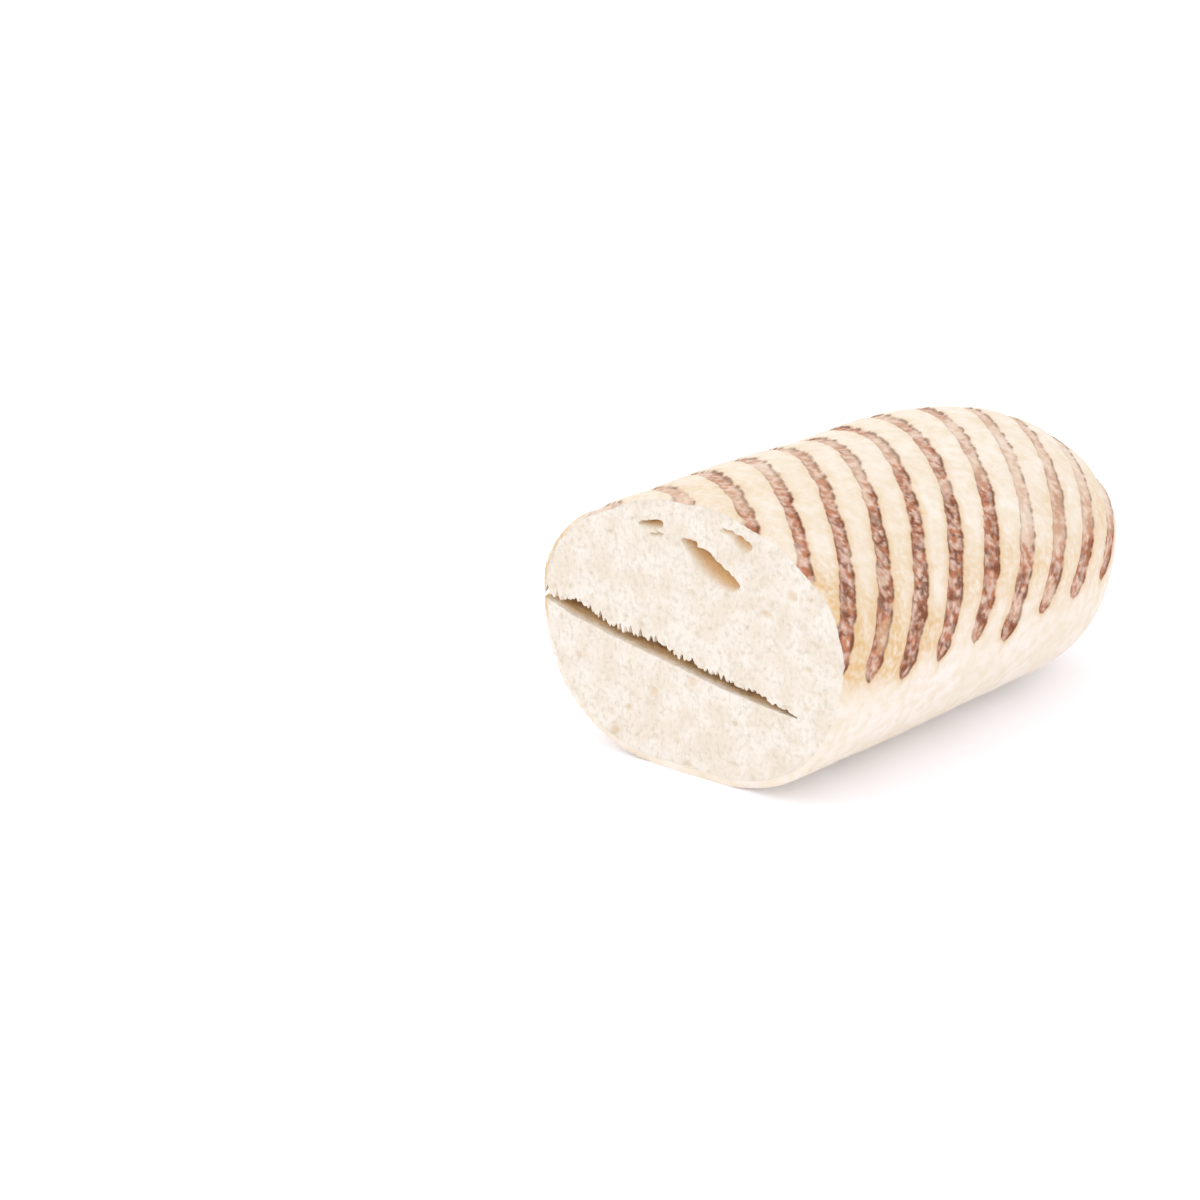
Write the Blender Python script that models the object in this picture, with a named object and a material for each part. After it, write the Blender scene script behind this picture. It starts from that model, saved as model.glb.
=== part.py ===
"""A parbaked bread roll with grill marks, cut across and slit along one side for filling.

The roll lies on its flat base. +X runs from the cut face to the rounded end, +Z is up, and the
slit opens on the +Y side. The origin is at the middle of the base of its box. Metres throughout.
"""

import math

import bmesh
import bpy
import numpy as np
from mathutils import Matrix, Vector

MM = 0.001

# The loaf: sizes of the piece that is left after the cut
ROLL_WIDTH = 76 * MM
ROLL_HEIGHT = 57 * MM
PIECE_LENGTH = 122 * MM
END_ROUNDING = 50 * MM
WASTE_LENGTH = 16 * MM

# The section: a superellipse above the widest line and another below it
WIDEST_AT = 0.565 * ROLL_HEIGHT
UPPER_SQUARENESS = 1.85
LOWER_SQUARENESS = 2.35
BASE_SINK = 2.1 * MM

# The base: flat down the middle where it lay on the tray, and rounded up to the sides
BASE_ROUNDING = 1.9 * MM
BASE_FLATNESS = 2.1 * MM

# How the width and the height die away towards the rounded end
END_BLUNTNESS = 2.7
PLAN_FULLNESS = 2.0
TOP_FULLNESS = 2.3
UNDERSIDE_LIFT = 0.35

# Gentle unevenness of a hand-laid dough piece: two slow waves, with their phases in radians
LUMP_HEIGHT = 0.35 * MM
LUMP_LENGTH = 58 * MM
LUMP_PHASE = 1.3
LUMP_TURN = 0.6
SAG_HEIGHT = 0.3 * MM
SAG_LENGTH = 102 * MM
SAG_PHASE = 0.4

# The grill marks: parallel grooves pressed by slanting bars
MARK_COUNT = 13
MARK_PITCH = 9.28 * MM
MARK_WIDTH = 4.2 * MM
MARK_DEPTH = 0.5 * MM
MARK_SKEW = 0.708
MARK_LEAN = 0.438
FIRST_MARK_X = -86.0 * MM
MARK_REACH_NEAR = 25 * MM
MARK_REACH_FAR = 39 * MM
MARK_FADE = 4 * MM
BAR_CLEARANCE = 0.6 * MM
BAR_SPAN = 340 * MM

# The slit: a blade cut that leaves a hinge of crust on the -Y side
SLIT_MOUTH_Z = 30.0 * MM
SLIT_HINGE_Y = -26.5 * MM
SLIT_HINGE_Z = 18.2 * MM
SLIT_GAP_CUT_END = 3.0 * MM
SLIT_GAP_FAR_END = 1.2 * MM
SLIT_GAP_HINGE = 0.5 * MM
SLIT_SHOULDER = 0.22
SLIT_SHOULDER_OPENING = 0.75
SLIT_OVERRUN = 8 * MM

# Large bubbles that the knife laid open: middle on the face, half sizes, depth, tilt in degrees
BUBBLES = (
    ((-5.0 * MM, 43.8 * MM), (7.8 * MM, 2.0 * MM), 5.0 * MM, 28.0),
    ((9.8 * MM, 50.1 * MM), (2.4 * MM, 0.9 * MM), 2.4 * MM, 0.0),
    ((-11.2 * MM, 51.0 * MM), (3.4 * MM, 0.9 * MM), 2.2 * MM, 8.0),
)

# How finely the loaf is meshed
RING_STEP = 4.0 * MM
END_RINGS = 20
POINTS_ROUND = 52
OUTLINE_SAMPLES = 1440
BUBBLE_DETAIL = 2

CUT_X = -PIECE_LENGTH / 2
TIP_X = PIECE_LENGTH / 2
ROUNDING_X = TIP_X - END_ROUNDING
MARK_NORMAL = Vector((1.0, -MARK_SKEW, -MARK_LEAN))

CRUST = (0.906, 0.787, 0.584, 1.0)
CRUST_ROUGHNESS = 0.75
CRISP_EDGE = math.radians(35)


def remaining(x, fullness):
    """Share of the full width or height that is left at x."""
    share = min(max((x - ROUNDING_X) / END_ROUNDING, 0.0), 1.0)
    return (1.0 - share**END_BLUNTNESS) ** (1.0 / fullness)


def power(value, exponent):
    return math.copysign(abs(value) ** exponent, value)


def lump(x, angle):
    """Unevenness along the outward direction, gone at the tip."""
    wave = math.sin(x / LUMP_LENGTH * math.tau + LUMP_PHASE) * math.cos(2 * angle + LUMP_TURN)
    sag = math.sin(x / SAG_LENGTH * math.tau + SAG_PHASE) * math.sin(3 * angle)
    return (LUMP_HEIGHT * wave + SAG_HEIGHT * sag) * remaining(x, 1.0)


def settled(z):
    """The height of the underside once it has settled on the tray: never far below zero."""
    return (z - BASE_FLATNESS + math.hypot(z + BASE_FLATNESS, 2 * BASE_ROUNDING)) / 2


def section_point(x, angle, swell=0.0):
    """The point of the loaf's skin at x, at this angle from +Y round over the top."""
    rise = math.sin(angle)
    reach = math.cos(angle)
    squareness = UPPER_SQUARENESS if rise >= 0 else LOWER_SQUARENESS
    top = remaining(x, TOP_FULLNESS)
    if rise >= 0:
        height = (ROLL_HEIGHT - WIDEST_AT) * top
    else:
        height = (WIDEST_AT + BASE_SINK) * top**UNDERSIDE_LIFT
    out = lump(x, angle) + swell
    y = (ROLL_WIDTH / 2 * remaining(x, PLAN_FULLNESS)) * power(reach, 2 / squareness)
    z = WIDEST_AT + height * power(rise, 2 / squareness)
    if rise < 0:
        z = settled(z) - settled(WIDEST_AT) + WIDEST_AT
    y += out * reach
    z += out * max(rise, 0.0)
    return Vector((x, y, max(z, min(-swell, 0.0))))


def angles_round():
    """Angles that space the points evenly along the full section."""
    fine = np.linspace(0.0, math.tau, OUTLINE_SAMPLES + 1)
    outline = np.array([section_point(CUT_X, a)[1:] for a in fine])
    steps = np.linalg.norm(np.diff(outline, axis=0), axis=1)
    length = np.concatenate([[0.0], np.cumsum(steps)])
    wanted = np.linspace(0.0, length[-1], POINTS_ROUND, endpoint=False)
    return np.interp(wanted, length, fine)


def ring_places():
    """Places of the rings: even along the loaf, closer together towards the tip."""
    start = CUT_X - WASTE_LENGTH
    straight = int(round((ROUNDING_X - start) / RING_STEP))
    places = [start + (ROUNDING_X - start) * i / straight for i in range(straight)]
    for i in range(END_RINGS):
        places.append(ROUNDING_X + END_ROUNDING * math.sin(math.pi / 2 * i / END_RINGS))
    return places


def pressed_swell(x, angle):
    """How far the pressed skin lies outside the loaf: below zero where the grill bars reach."""
    point = section_point(x, angle)
    reach = MARK_REACH_FAR if point.y > 0 else MARK_REACH_NEAR
    share = min(max((point.z - reach) / MARK_FADE, 0.0), 1.0)
    return BAR_CLEARANCE - (BAR_CLEARANCE + MARK_DEPTH) * share


def loaf(swell_at=None):
    """The uncut loaf, lofted through its rings and closed at both ends."""
    mesh = bmesh.new()
    angles = angles_round()
    rings = []
    for x in ring_places():
        ring = []
        for a in angles:
            swell = swell_at(x, a) if swell_at else 0.0
            ring.append(mesh.verts.new(section_point(x, a, swell)))
        rings.append(ring)
    for ring, following in zip(rings, rings[1:]):
        for i in range(POINTS_ROUND):
            j = (i + 1) % POINTS_ROUND
            mesh.faces.new((ring[i], ring[j], following[j], following[i]))
    tip = mesh.verts.new((TIP_X, 0.0, section_point(TIP_X, 0.0).z))
    for i in range(POINTS_ROUND):
        mesh.faces.new((rings[-1][i], rings[-1][(i + 1) % POINTS_ROUND], tip))
    mesh.faces.new(rings[0])
    bmesh.ops.recalc_face_normals(mesh, faces=mesh.faces)
    return mesh


def cut_across(mesh):
    """The knife cut: takes the waste end off and closes the flat face."""
    parts = list(mesh.verts) + list(mesh.edges) + list(mesh.faces)
    cut = bmesh.ops.bisect_plane(
        mesh, geom=parts, dist=1e-6, plane_co=(CUT_X, 0, 0), plane_no=(1, 0, 0), clear_inner=True
    )
    rim = [part for part in cut["geom_cut"] if isinstance(part, bmesh.types.BMEdge)]
    bmesh.ops.holes_fill(mesh, edges=rim, sides=0)
    bmesh.ops.recalc_face_normals(mesh, faces=mesh.faces)


def object_from(mesh, name):
    data = bpy.data.meshes.new(name)
    mesh.to_mesh(data)
    mesh.free()
    made = bpy.data.objects.new(name, data)
    bpy.context.scene.collection.objects.link(made)
    return made


def as_cutter(cutter):
    cutter.hide_render = True
    cutter.display_type = "WIRE"
    return cutter


def grill_bars():
    """The bars that press the marks: slanting boxes that stop at the pressed skin."""
    middle = Vector((FIRST_MARK_X, 0.0, ROLL_HEIGHT / 2))
    across = MARK_NORMAL.normalized()
    along = across.cross(Vector((1.0, 0.0, 0.0))).normalized()
    third = across.cross(along)
    mesh = bmesh.new()
    for number in range(MARK_COUNT):
        placed = Matrix.Translation(middle + across * MARK_PITCH * number)
        turned = Matrix((along, third, across)).transposed().to_4x4()
        sized = Matrix.Diagonal((BAR_SPAN, BAR_SPAN, MARK_WIDTH, 1.0))
        bmesh.ops.create_cube(mesh, size=1.0, matrix=placed @ turned @ sized)
    bmesh.ops.recalc_face_normals(mesh, faces=mesh.faces)
    bars = as_cutter(object_from(mesh, "grill_bars"))
    subtract(bars, as_cutter(object_from(loaf(pressed_swell), "pressed_skin")))
    return bars


def slit_section(x, gap):
    """Corners of the slit at x: nearly parallel walls from the mouth, closing fast at the hinge."""
    depth = ROLL_WIDTH / 2 - SLIT_HINGE_Y
    slope = (SLIT_MOUTH_Z - SLIT_HINGE_Z) / depth
    openings = (
        (0.0, SLIT_GAP_HINGE),
        (SLIT_SHOULDER * depth, SLIT_SHOULDER_OPENING * gap),
        (depth + SLIT_OVERRUN, gap),
    )
    lower = [(x, SLIT_HINGE_Y + run, SLIT_HINGE_Z + slope * run - wide / 2) for run, wide in openings]
    upper = [(x, SLIT_HINGE_Y + run, SLIT_HINGE_Z + slope * run + wide / 2) for run, wide in openings]
    return lower + upper[::-1]


def slit_cutter():
    """A thin wedge, widest by the cut face and narrow at the far end."""
    mesh = bmesh.new()
    near = [mesh.verts.new(point) for point in slit_section(CUT_X - SLIT_OVERRUN, SLIT_GAP_CUT_END)]
    far = [mesh.verts.new(point) for point in slit_section(TIP_X + SLIT_OVERRUN, SLIT_GAP_FAR_END)]
    for i in range(len(near)):
        j = (i + 1) % len(near)
        mesh.faces.new((near[i], near[j], far[j], far[i]))
    mesh.faces.new(near)
    mesh.faces.new(far)
    bmesh.ops.recalc_face_normals(mesh, faces=mesh.faces)
    return as_cutter(object_from(mesh, "slit_cutter"))


def bubble_cutter(number, middle, half_sizes, depth, tilt):
    """An ellipsoid centred on the cut face, which leaves half a bubble in the crumb."""
    mesh = bmesh.new()
    bmesh.ops.create_icosphere(mesh, subdivisions=BUBBLE_DETAIL, radius=1.0)
    cutter = as_cutter(object_from(mesh, f"bubble_cutter_{number}"))
    cutter.location = (CUT_X, *middle)
    cutter.rotation_euler = (math.radians(tilt), 0.0, 0.0)
    cutter.scale = (depth, *half_sizes)
    return cutter


def subtract(body, cutter):
    boolean = body.modifiers.new(cutter.name, "BOOLEAN")
    boolean.operation = "DIFFERENCE"
    boolean.object = cutter


def crust_material():
    made = bpy.data.materials.new("pale_crust")
    made.use_nodes = True
    shader = made.node_tree.nodes["Principled BSDF"]
    shader.inputs["Base Color"].default_value = CRUST
    shader.inputs["Roughness"].default_value = CRUST_ROUGHNESS
    shader.inputs["Metallic"].default_value = 0.0
    made.diffuse_color = CRUST
    return made


def bread_roll():
    mesh = loaf()
    cut_across(mesh)
    roll = object_from(mesh, "roll")
    roll.data.materials.append(crust_material())
    roll.data.shade_smooth()
    roll.data.set_sharp_from_angle(angle=CRISP_EDGE)
    subtract(roll, grill_bars())
    subtract(roll, slit_cutter())
    for number, bubble in enumerate(BUBBLES):
        subtract(roll, bubble_cutter(number, *bubble))


for leftover in list(bpy.data.objects):
    bpy.data.objects.remove(leftover)
bread_roll()
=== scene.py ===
# %% [markdown]
# # A parbaked bread roll with grill marks
#
# The object is half of a long, pale panini roll. It lies on its flat base, the knife has cut it
# straight across, and a second cut along one side opens it for a filling. Parbaked bread leaves the
# oven before it browns, so its skin is cream. Only the hot grill bars have browned it.
#
# The lesson starts with the camera and goes on to the solid forms, the finishes and the light. The
# frame that is loaded first holds the plain solid of the roll. Everything made here is fitted to it.

# %% Load the frame
import math
from collections import Counter
from itertools import combinations

import bmesh
import bpy
import numpy as np
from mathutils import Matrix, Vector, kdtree, noise


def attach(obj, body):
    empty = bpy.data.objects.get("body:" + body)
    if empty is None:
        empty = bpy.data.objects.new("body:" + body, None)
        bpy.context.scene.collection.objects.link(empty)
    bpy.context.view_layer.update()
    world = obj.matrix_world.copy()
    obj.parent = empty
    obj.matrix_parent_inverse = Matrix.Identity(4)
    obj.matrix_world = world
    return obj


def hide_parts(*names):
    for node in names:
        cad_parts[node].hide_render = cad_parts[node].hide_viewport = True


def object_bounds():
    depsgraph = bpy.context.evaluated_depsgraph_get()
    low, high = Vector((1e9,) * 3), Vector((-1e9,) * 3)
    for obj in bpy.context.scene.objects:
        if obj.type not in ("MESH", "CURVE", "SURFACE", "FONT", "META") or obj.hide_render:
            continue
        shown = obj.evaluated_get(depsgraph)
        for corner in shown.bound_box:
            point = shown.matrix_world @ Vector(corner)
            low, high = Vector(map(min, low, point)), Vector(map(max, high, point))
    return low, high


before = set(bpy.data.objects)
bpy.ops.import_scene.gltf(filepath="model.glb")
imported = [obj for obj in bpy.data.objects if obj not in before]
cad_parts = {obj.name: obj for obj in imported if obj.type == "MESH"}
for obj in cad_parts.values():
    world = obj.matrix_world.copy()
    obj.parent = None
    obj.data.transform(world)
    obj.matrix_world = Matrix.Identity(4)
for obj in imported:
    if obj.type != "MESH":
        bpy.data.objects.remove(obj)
cad_low, cad_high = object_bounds()
print("plain solid, millimetres:", [round(1000 * (b - a), 1) for a, b in zip(cad_low, cad_high)])

# %% [markdown]
# ## The driving sizes
#
# A baker would give a roll by its width, height and length. The rest is how square its section is
# and how its end rounds off. These are the sizes that the plain solid was made from, so that the
# fine skin lies where the plain one does. +X runs from the cut face to the rounded end, the slit
# opens towards +Y, and +Z is up.

# %% Sizes of the loaf
MM = 0.001

ROLL_WIDTH = 76 * MM
ROLL_HEIGHT = 57 * MM
CUT_X = cad_low.x
TIP_X = cad_high.x
END_ROUNDING = 50 * MM
ROUNDING_X = TIP_X - END_ROUNDING

WIDEST_AT = 0.565 * ROLL_HEIGHT
UPPER_SQUARENESS = 1.85
LOWER_SQUARENESS = 2.35
BASE_SINK = 2.1 * MM
BASE_ROUNDING = 1.9 * MM
BASE_FLATNESS = 2.1 * MM
END_BLUNTNESS = 2.7
PLAN_FULLNESS = 2.0
TOP_FULLNESS = 2.3
UNDERSIDE_LIFT = 0.35

LUMP_HEIGHT = 0.35 * MM
LUMP_LENGTH = 58 * MM
LUMP_PHASE = 1.3
LUMP_TURN = 0.6
SAG_HEIGHT = 0.3 * MM
SAG_LENGTH = 102 * MM
SAG_PHASE = 0.4
print("cut face at", round(CUT_X / MM, 1), "mm, tip at", round(TIP_X / MM, 1), "mm")

# %% [markdown]
# ## The camera
#
# The photograph was taken with a long lens from a little above the table, in front of the cut face
# and on the side away from the slit. A long lens keeps the far end of the roll nearly as large as
# the near end. The camera is made first. Blender takes the lens and the sensor in millimetres.

# %% The camera
LENS = 93.87
SENSOR = 36.0
CAMERA_PLACE = (-509.5 * MM, -363.1 * MM, 224.7 * MM)
CAMERA_HEADING = math.radians(40.72)
CAMERA_DIP = math.radians(18.09)


def make_camera():
    """A camera at the photographer's place, made the scene's own."""
    data = bpy.data.cameras.new("camera")
    data.lens = LENS
    data.sensor_width = SENSOR
    camera = bpy.data.objects.new("camera", data)
    bpy.context.scene.collection.objects.link(camera)
    camera.location = CAMERA_PLACE
    camera.rotation_euler = (math.pi / 2 - CAMERA_DIP, 0.0, CAMERA_HEADING - math.pi / 2)
    bpy.context.scene.camera = camera
    return camera


camera = make_camera()
print("camera", round(camera.location.length / MM), "mm from the middle of the roll's base")

# %% [markdown]
# ## The section of the loaf
#
# Dough that proves and bakes free on a tray spreads at its foot, bulges at its sides and domes on
# top. A superellipse draws that with one number for its squareness, and this loaf uses one above its
# widest line and another below. The far end could be a hemisphere, but a real roll is blunter, so
# the width and the height die away by a power law. All of it is worked out for whole arrays of
# places at once, because the fine skin has tens of thousands of points.


# %% Section functions
def remaining(x, fullness):
    """Share of the full width or height that is left at x."""
    share = np.clip((x - ROUNDING_X) / END_ROUNDING, 0.0, 1.0)
    return (1.0 - share**END_BLUNTNESS) ** (1.0 / fullness)


def power(value, exponent):
    """A power that keeps the value's sign."""
    return np.sign(value) * np.abs(value) ** exponent


def lump(x, angle):
    """Gentle unevenness of a hand-laid dough piece, gone at the tip."""
    wave = np.sin(x / LUMP_LENGTH * math.tau + LUMP_PHASE) * np.cos(2.0 * angle + LUMP_TURN)
    sag = np.sin(x / SAG_LENGTH * math.tau + SAG_PHASE) * np.sin(3.0 * angle)
    return (LUMP_HEIGHT * wave + SAG_HEIGHT * sag) * remaining(x, 1.0)


def settled(z):
    """Heights of the underside once it has settled on the tray: never far below zero."""
    return (z - BASE_FLATNESS + np.hypot(z + BASE_FLATNESS, 2 * BASE_ROUNDING)) / 2


def section(x, angle):
    """Points of the skin at x, at each angle from +Y round over the top."""
    rise, reach = np.sin(angle), np.cos(angle)
    squareness = np.where(rise >= 0, UPPER_SQUARENESS, LOWER_SQUARENESS)
    top = remaining(x, TOP_FULLNESS)
    over = (ROLL_HEIGHT - WIDEST_AT) * top
    under = (WIDEST_AT + BASE_SINK) * top**UNDERSIDE_LIFT
    out = lump(x, angle)
    y = ROLL_WIDTH / 2 * remaining(x, PLAN_FULLNESS) * power(reach, 2 / squareness) + out * reach
    z = WIDEST_AT + np.where(rise >= 0, over, under) * power(rise, 2 / squareness)
    z = np.where(rise >= 0, z, settled(z) - settled(WIDEST_AT) + WIDEST_AT)
    z = z + out * np.maximum(rise, 0.0)
    return np.stack([x + 0 * y, y, np.maximum(z, 0.0)], axis=-1)


def even_angles(count):
    """Angles that space this many points evenly round the full section."""
    fine = np.linspace(0.0, math.tau, 40 * count + 1)
    outline = section(CUT_X, fine)
    steps = np.linalg.norm(np.diff(outline, axis=0), axis=1)
    length = np.concatenate([[0.0], np.cumsum(steps)])
    return np.interp(np.linspace(0.0, length[-1], count, endpoint=False), length, fine)


def loaf_rings(spacing, waste):
    """Rings of skin points this far apart, from a little before the cut face to the tip."""
    start = CUT_X - waste
    straight = np.arange(start, ROUNDING_X, spacing)
    turns = np.linspace(0.0, math.pi / 2, int(1.35 * END_ROUNDING / spacing), endpoint=False)
    places = np.concatenate([straight, ROUNDING_X + END_ROUNDING * np.sin(turns)])
    angles = even_angles(int(math.pi * (ROLL_WIDTH + ROLL_HEIGHT) / 2 / spacing))
    return section(places[:, None], angles[None, :])


print("widest", round(ROLL_WIDTH / MM), "mm across at", round(WIDEST_AT / MM), "mm above the tray")

# %% [markdown]
# ## From rings to a solid
#
# Every form here is a stack of closed rings: the loaf, the block that the knife sweeps and the wedge
# of the slit. So one function is enough to turn rings into a closed mesh. It joins each ring to the
# next with four-sided faces, closes the ends with a fan, and turns all faces outwards if the solid
# comes out inside out.


# %% A closed mesh from rings
def solid_from_rings(name, rings, last_point=None):
    """A closed mesh object from an array of rings, each an array of points."""
    count, around = rings.shape[:2]
    first = rings[0].mean(axis=0)
    last = rings[-1].mean(axis=0) if last_point is None else np.array(last_point)
    points = np.concatenate([rings.reshape(-1, 3), [first, last]])
    index = np.arange(count * around).reshape(count, around)
    after = np.roll(index, -1, axis=1)
    quads = np.stack([index[:-1], after[:-1], after[1:], index[1:]], axis=-1).reshape(-1, 4)
    near = np.stack([after[0], index[0], np.full(around, count * around)], axis=-1)
    far = np.stack([index[-1], after[-1], np.full(around, count * around + 1)], axis=-1)
    corners = points[quads]
    middle = corners.mean(axis=1)
    normal = np.cross(corners[:, 2] - corners[:, 0], corners[:, 3] - corners[:, 1])
    faces = quads.tolist() + near.tolist() + far.tolist()
    if (middle[:, 1:] * normal[:, 1:]).sum() < 0:
        faces = [face[::-1] for face in faces]
    mesh = bpy.data.meshes.new(name)
    mesh.from_pydata(points.tolist(), [], faces)
    mesh.validate()
    made = bpy.data.objects.new(name, mesh)
    bpy.context.scene.collection.objects.link(made)
    return made


print("plain loaf:", len(loaf_rings(5 * MM, 0.0)), "rings, 5 mm apart")

# %% [markdown]
# ## Soft steps and noise
#
# Three helpers shape nearly everything that follows. A soft step goes from 0 to 1 without a kink, so
# that nothing on the bread starts or stops at a line. Perlin noise gives unevenness of one chosen
# size. It depends only on the place, so each run bakes the same bread, while random numbers for each
# point would give sand instead of dough. A layer of relief is noise with a size, a height and a
# shift. The shift takes it from a fresh place, so that no two layers rise together.


# %% Soft steps and noise
def smoothstep(low, high, value):
    """0 below low, 1 above high, with a soft passage between."""
    share = np.clip((value - low) / (high - low), 0.0, 1.0)
    return share * share * (3.0 - 2.0 * share)


def rough(points, size, shift):
    """Perlin noise from about -1 to 1 at each point, with features of about this size."""
    places = points.reshape(-1, 3) / size + shift
    values = [noise.noise(place) for place in places.tolist()]
    return np.array(values).reshape(points.shape[:-1])


def layer(points, size, height, shift):
    """One layer of relief, in metres: noise of this size and height."""
    return rough(points, size, shift) * height


print("a quarter of the way along a soft step:", round(float(smoothstep(0.0, 1.0, 0.25)), 2))

# %% [markdown]
# ## Where the grill bars touched
#
# The marks are the print of parallel bars. Each bar is straight, so all of a mark lies in one
# slanting plane, and the marks look curved only because the loaf is round. The distance from the
# nearest plane therefore gives the whole pattern. The lower ends differ from mark to mark, because
# the dough's side curves away from the bar a little sooner or later. The bars reached less far down
# on the side away from the slit's hinge, and they pressed a narrower mark over the crown.

# %% Marks as distances from planes
MARK_COUNT = 13
MARK_PITCH = 9.28 * MM
MARK_WIDTH = 4.0 * MM
MARK_DEPTH = 0.5 * MM
MARK_SKEW = 0.708
MARK_LEAN = 0.438
FIRST_MARK_X = -86.0 * MM
MARK_REACH_NEAR = 25 * MM
MARK_REACH_FAR = 39 * MM
MARK_TAPER = 3 * MM
REACH_BLEND = 16 * MM
NARROW_FROM = 38 * MM
NARROW_TO = 54 * MM
CROWN_NARROWING = 0.25
END_SLOPE = 0.6
EDGE_WANDER = (5.5 * MM, 0.4 * MM, 3.1)
EDGE_FRAY = (1.9 * MM, 0.2 * MM, 7.7)
MARK_NORMAL = np.array([1.0, -MARK_SKEW, -MARK_LEAN])

END_STEPS = np.array([0, 0, 0, 0, 1, 1, -1.5, -1, -0.5, -3, -0.5, -0.5, 0]) * MM
FIRMNESS = np.array([0.3, 0.6, 0.8, 0.8, 0.9, 0.95, 1.0, 1.0, 0.9, 0.95, 0.9, 0.75, 0.7])


def mark_number(points):
    """Which mark each point is nearest to, and how far it lies past that mark's middle plane."""
    start = np.array([FIRST_MARK_X, 0.0, ROLL_HEIGHT / 2])
    across = (points - start) @ MARK_NORMAL / np.linalg.norm(MARK_NORMAL)
    number = np.clip(np.rint(across / MARK_PITCH), 0, MARK_COUNT - 1).astype(int)
    return number, across - number * MARK_PITCH


def mark_inset(points):
    """How far inside the nearest mark's edge each point lies, in metres. Outside it is below zero."""
    number, past = mark_number(points)
    far_side = smoothstep(-REACH_BLEND, REACH_BLEND, points[..., 1])
    reach = MARK_REACH_NEAR + (MARK_REACH_FAR - MARK_REACH_NEAR) * far_side + END_STEPS[number]
    climb = (points[..., 2] - reach) / MARK_TAPER
    narrow = 1.0 - CROWN_NARROWING * smoothstep(NARROW_FROM, NARROW_TO, points[..., 2])
    half = MARK_WIDTH / 2 * narrow * np.sqrt(np.clip(climb, 0.0, 1.0))
    uneven = layer(points, *EDGE_WANDER) + layer(points, *EDGE_FRAY)
    ended = np.minimum((points[..., 2] - reach) * END_SLOPE, 0.0)
    return half - np.abs(past) + uneven * np.clip(climb + 0.5, 0.0, 1.0) + ended


print(MARK_COUNT, "marks,", round(MARK_PITCH / MM, 1), "mm apart, square to the bars")

# %% [markdown]
# ## The fine skin
#
# A smooth loft looks like plastic. Real dough has broad dents from handling, a skin that has dried
# into a fine pebble, and grooves where the bars pressed. Each is added along the surface's own
# normal. It could be done with a displacement modifier, but working on the points in one array
# keeps the relief and the marks in step. The base stays flat, because it lay on the tray. The
# blisters are the small swellings that steam raised in the pressed skin.

# %% Relief of the skin
SKIN_SPACING = 0.72 * MM
SKIN_WASTE = 2.2 * MM
BASE_KEPT = 1.2 * MM
DENTS = (16 * MM, 0.28 * MM, 0.7)
WRINKLES = (4.5 * MM, 0.10 * MM, 1.9)
PEBBLE = (1.7 * MM, 0.05 * MM, 5.3)
BLISTERS = (1.8 * MM, 0.15 * MM, 9.1)
PRESSED_FROM = -0.35 * MM
PRESSED_FULL = 0.75 * MM


def outward(rings):
    """Unit normals of a closed stack of rings, from the steps along and round it."""
    along = np.gradient(rings, axis=0)
    wrapped = np.concatenate([rings[:, -1:], rings, rings[:, :1]], axis=1)
    around = wrapped[:, 2:] - wrapped[:, :-2]
    normal = np.cross(around, along)
    normal /= np.maximum(np.linalg.norm(normal, axis=-1, keepdims=True), 1e-12)
    centre = rings.mean(axis=1, keepdims=True)
    facing = ((rings - centre) * normal).sum() >= 0
    return normal if facing else -normal


def skin_relief(points):
    """Height of the skin's relief at each point, in metres."""
    dough = layer(points, *DENTS) + layer(points, *WRINKLES) + layer(points, *PEBBLE)
    pressed = smoothstep(PRESSED_FROM, PRESSED_FULL, mark_inset(points))
    depth = MARK_DEPTH * (1.0 + 0.25 * rough(points, 7 * MM, 2.2))
    blisters = np.maximum(layer(points, *BLISTERS), 0.0)
    return dough + (blisters - depth) * pressed


skin = loaf_rings(SKIN_SPACING, SKIN_WASTE)
lift = smoothstep(0.0, BASE_KEPT, skin[..., 2])
skin = skin + outward(skin) * (skin_relief(skin) * lift)[..., None]
skin[..., 2] = np.maximum(skin[..., 2], 0.0)
tip_point = (TIP_X - 0.1 * MM, 0.0, WIDEST_AT)
loaf = solid_from_rings("loaf", skin, tip_point)
print("fine skin:", len(loaf.data.polygons), "faces")

# %% [markdown]
# ## Crust and crumb
#
# The crust of a parbaked roll is about a millimetre thick, a little more at the foot, which dried on
# the hot tray. The crumb fills the rest. Both could be one mesh with two materials. Two solids are
# nearer to the real thing: the edge of the crust then shows as a thin line round the cut face, and
# each can have its own finish. The inner loaf is made of the skin's own points, moved inwards along
# the normals, so that it follows every dent. Nobody sees where the two meet, so every second point
# is enough.

# %% The inner loaf
CRUST_THIN = 0.8 * MM
CRUST_THICK = 1.6 * MM
THICK_BELOW = 14 * MM
THIN_ABOVE = 30 * MM
CORE_OVERRUN = 4 * MM


def inner_rings(rings):
    """Every second point of the skin, except at the very tip, moved in by the crust's thickness."""
    coarse = rings[:-4:2, ::2]
    foot = 1.0 - smoothstep(THICK_BELOW, THIN_ABOVE, coarse[..., 2])
    thickness = CRUST_THIN + (CRUST_THICK - CRUST_THIN) * foot
    inner = coarse - outward(coarse) * thickness[..., None]
    inner[..., 2] = np.maximum(inner[..., 2], CRUST_THICK)
    inner[0, :, 0] -= CORE_OVERRUN
    return inner


core = solid_from_rings("core", inner_rings(skin), (TIP_X - 1.5 * CRUST_THIN, 0.0, WIDEST_AT))
print("inner loaf:", len(core.data.polygons), "faces")

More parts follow.
